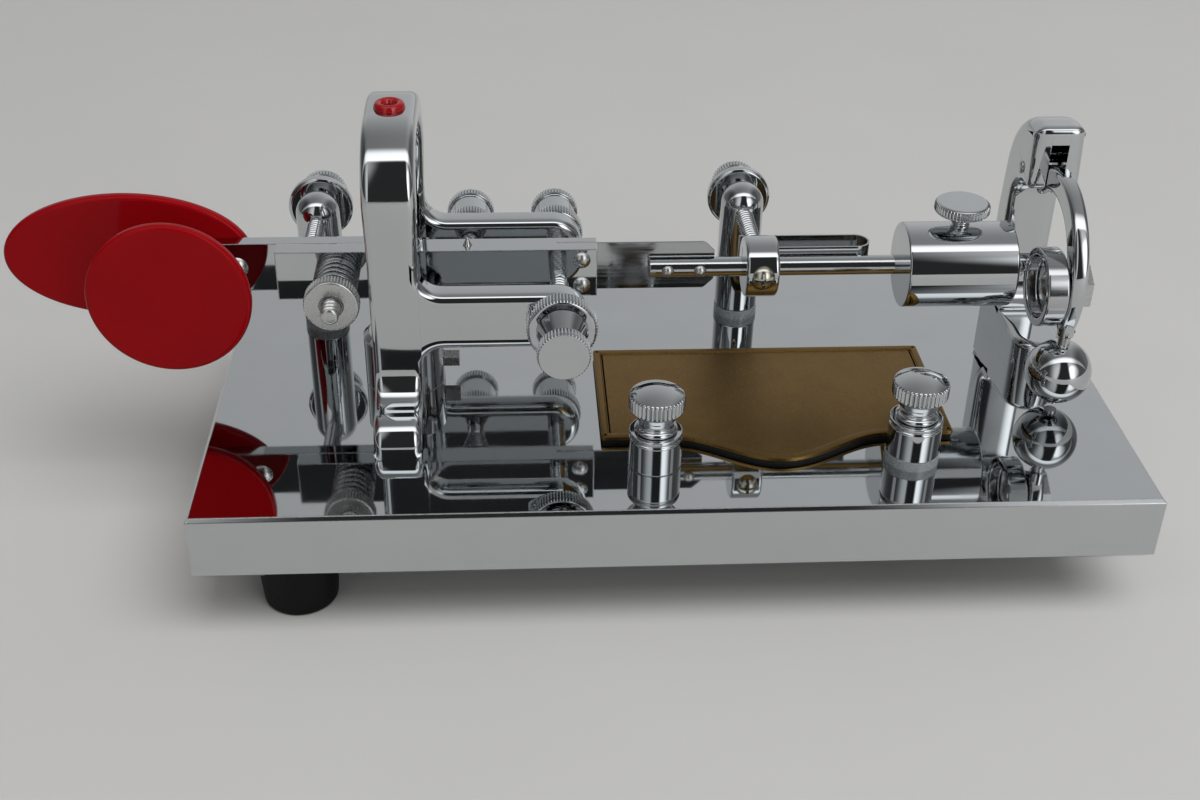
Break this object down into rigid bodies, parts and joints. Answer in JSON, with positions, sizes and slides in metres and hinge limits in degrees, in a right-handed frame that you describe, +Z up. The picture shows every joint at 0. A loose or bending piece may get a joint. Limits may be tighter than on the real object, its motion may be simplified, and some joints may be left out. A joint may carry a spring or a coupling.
{
  "type": "telegraph key",
  "caption": "Semi-automatic telegraph key: sideways levers on a plated base, a sprung rod with sliding weight, contact posts, binding posts and a wheel damper.",
  "frame": {"origin": "middle of the outline on the desk, under the rubber feet", "axes": "+X along the lever from the finger pieces to the damper, +Y away from the operator's near side, +Z up"},
  "size_m": [0.2024, 0.0888, 0.0807],
  "materials": {
    "chrome": "polished",
    "steel": "bright",
    "spring_steel": "polished",
    "red_plastic": "glossy",
    "red_jewel": "polished",
    "brass_plate": "aged",
    "dark_pad": "matt",
    "rubber": "matt",
    "clear_fibre": "translucent",
    "fibre_sheet": "matt",
    "strap_brass": "bright",
    "plated_screw": "bright"
  },
  "bodies": {
    "base": {"base_plate": "chrome", "rubber_feet": "rubber", "foot_screws": "steel", "name_plate": "brass_plate", "plate_backing": "dark_pad", "frame": "chrome", "casting_screws": "steel", "jewel": "red_jewel", "upper_pivot_screw": "steel", "lower_pivot_screw": "steel", "pivot_pedestal": "chrome", "pedestal_set_screw": "steel", "contact_posts": "chrome", "insulating_washers": "clear_fibre", "insulating_bushes": "clear_fibre", "post_screws": "steel", "contact_strap": "strap_brass", "strap_insulator": "fibre_sheet", "binding_posts": "chrome", "damper_post": "chrome", "damper_pin": "steel"},
    "main_lever": {"trunnion_lever": "chrome", "trunnion_shaft": "steel", "return_spring_pin": "steel", "spring_clamp_screws": "steel", "main_spring": "spring_steel", "return_spring": "spring_steel", "dash_spring": "spring_steel"},
    "dash_arm": {"dash_lever": "chrome", "thumb_piece": "red_plastic", "finger_piece": "red_plastic", "finger_stem": "chrome", "paddle_screws": "steel", "dash_tension_stud": "steel"},
    "tension_nut": {"dash_nut": "chrome"},
    "vibrator": {"vibrating_rod": "chrome", "rod_rivets": "steel", "contact_clamp": "chrome", "clamp_screw": "plated_screw", "contact_spring": "spring_steel"},
    "weight": {"speed_weight": "chrome"},
    "weight_thumbscrew": {"weight_screw": "chrome"},
    "damper": {"damper_arm": "chrome", "axle_screw": "steel", "axle_nut": "steel", "ball_stud": "steel", "damper_ball": "chrome"},
    "wheel": {"damper_wheel": "chrome"},
    "rest_screw": {"rest_stop_screw": "chrome"},
    "rest_nut": {"rest_stop_nut": "chrome"},
    "dot_stop": {"dot_stop_screw": "chrome"},
    "dot_stop_locknut": {"dot_stop_nut": "chrome"},
    "return_adjuster": {"return_screw": "chrome"},
    "return_locknut": {"return_nut": "chrome"},
    "dash_contact": {"dash_contact_screw": "chrome"},
    "dash_contact_locknut": {"dash_contact_nut": "chrome"},
    "dot_contact": {"dot_contact_screw": "chrome"},
    "dot_contact_locknut": {"dot_contact_nut": "chrome"},
    "left_cap": {"binding_cap_left": "chrome"},
    "right_cap": {"binding_cap_right": "chrome"}
  },
  "joints": [
    {"name": "lever_pivot", "type": "hinge", "parent": "base", "child": "main_lever", "pos_m": [-0.0297, 0, 0.04805], "axis": [0, 0, 1], "range_deg": [0, 1], "stiffness_Nm_per_rad": 2, "springref_deg": -1.15, "deforming": ["return_spring"]},
    {"name": "dash_pivot", "type": "hinge", "parent": "main_lever", "child": "dash_arm", "pos_m": [-0.0297, 0, 0.04805], "axis": [0, 0, 1], "range_deg": [-2, 0], "stiffness_Nm_per_rad": 1.5, "springref_deg": 1.72, "deforming": ["dash_spring"]},
    {"name": "tension_turn", "type": "hinge", "parent": "dash_arm", "child": "tension_nut", "pos_m": [-0.0408, -0.013, 0.04805], "axis": [0, 1, 0], "continuous": true},
    {"name": "vibrator_flex", "type": "hinge", "parent": "main_lever", "child": "vibrator", "pos_m": [0.01085, 0.0004, 0.04805], "axis": [0, 0, 1], "range_deg": [0, 2], "stiffness_Nm_per_rad": 1.2, "deforming": ["main_spring"]},
    {"name": "weight_slide", "type": "slide", "parent": "vibrator", "child": "weight", "axis": [1, 0, 0], "range_m": [-0.0045, 0]},
    {"name": "weight_screw_turn", "type": "hinge", "parent": "weight", "child": "weight_thumbscrew", "pos_m": [0.0721, -0.00062, 0.0592], "axis": [0, 0, 1], "continuous": true},
    {"name": "damper_swing", "type": "hinge", "parent": "base", "child": "damper", "pos_m": [0.09035, 0.0102, 0.0625], "axis": [-1, 0, 0], "range_deg": [0, 30]},
    {"name": "wheel_spin", "type": "hinge", "parent": "damper", "child": "wheel", "pos_m": [0.09035, -0.00987, 0.04805], "axis": [1, 0, 0], "continuous": true},
    {"name": "rest_screw_turn", "type": "hinge", "parent": "base", "child": "rest_screw", "pos_m": [-0.00085, -0.022, 0.04605], "axis": [0, 1, 0], "continuous": true},
    {"name": "rest_nut_turn", "type": "hinge", "parent": "base", "child": "rest_nut", "pos_m": [-0.00085, -0.0185, 0.04605], "axis": [0, 1, 0], "continuous": true},
    {"name": "dot_stop_turn", "type": "hinge", "parent": "base", "child": "dot_stop", "pos_m": [-0.00085, 0.022, 0.04605], "axis": [0, 1, 0], "continuous": true},
    {"name": "dot_stop_nut_turn", "type": "hinge", "parent": "base", "child": "dot_stop_locknut", "pos_m": [-0.00085, 0.0185, 0.04605], "axis": [0, 1, 0], "continuous": true},
    {"name": "return_screw_turn", "type": "hinge", "parent": "base", "child": "return_adjuster", "pos_m": [-0.0173, 0.022, 0.04605], "axis": [0, 1, 0], "continuous": true},
    {"name": "return_nut_turn", "type": "hinge", "parent": "base", "child": "return_locknut", "pos_m": [-0.0173, 0.0185, 0.04605], "axis": [0, 1, 0], "continuous": true},
    {"name": "dash_contact_turn", "type": "hinge", "parent": "base", "child": "dash_contact", "pos_m": [-0.0464, 0.03, 0.04805], "axis": [0, 1, 0], "continuous": true},
    {"name": "dash_contact_nut_turn", "type": "hinge", "parent": "base", "child": "dash_contact_locknut", "pos_m": [-0.0464, 0.027, 0.04805], "axis": [0, 1, 0], "continuous": true},
    {"name": "dot_contact_turn", "type": "hinge", "parent": "base", "child": "dot_contact", "pos_m": [0.03595, 0.033, 0.04805], "axis": [0, 1, 0], "continuous": true},
    {"name": "dot_contact_nut_turn", "type": "hinge", "parent": "base", "child": "dot_contact_locknut", "pos_m": [0.03595, 0.0297, 0.04805], "axis": [0, 1, 0], "continuous": true},
    {"name": "left_cap_turn", "type": "hinge", "parent": "base", "child": "left_cap", "pos_m": [0.01495, -0.03, 0.0372], "axis": [0, 0, 1], "continuous": true},
    {"name": "right_cap_turn", "type": "hinge", "parent": "base", "child": "right_cap", "pos_m": [0.06025, -0.03, 0.0389], "axis": [0, 0, 1], "continuous": true}
  ]
}
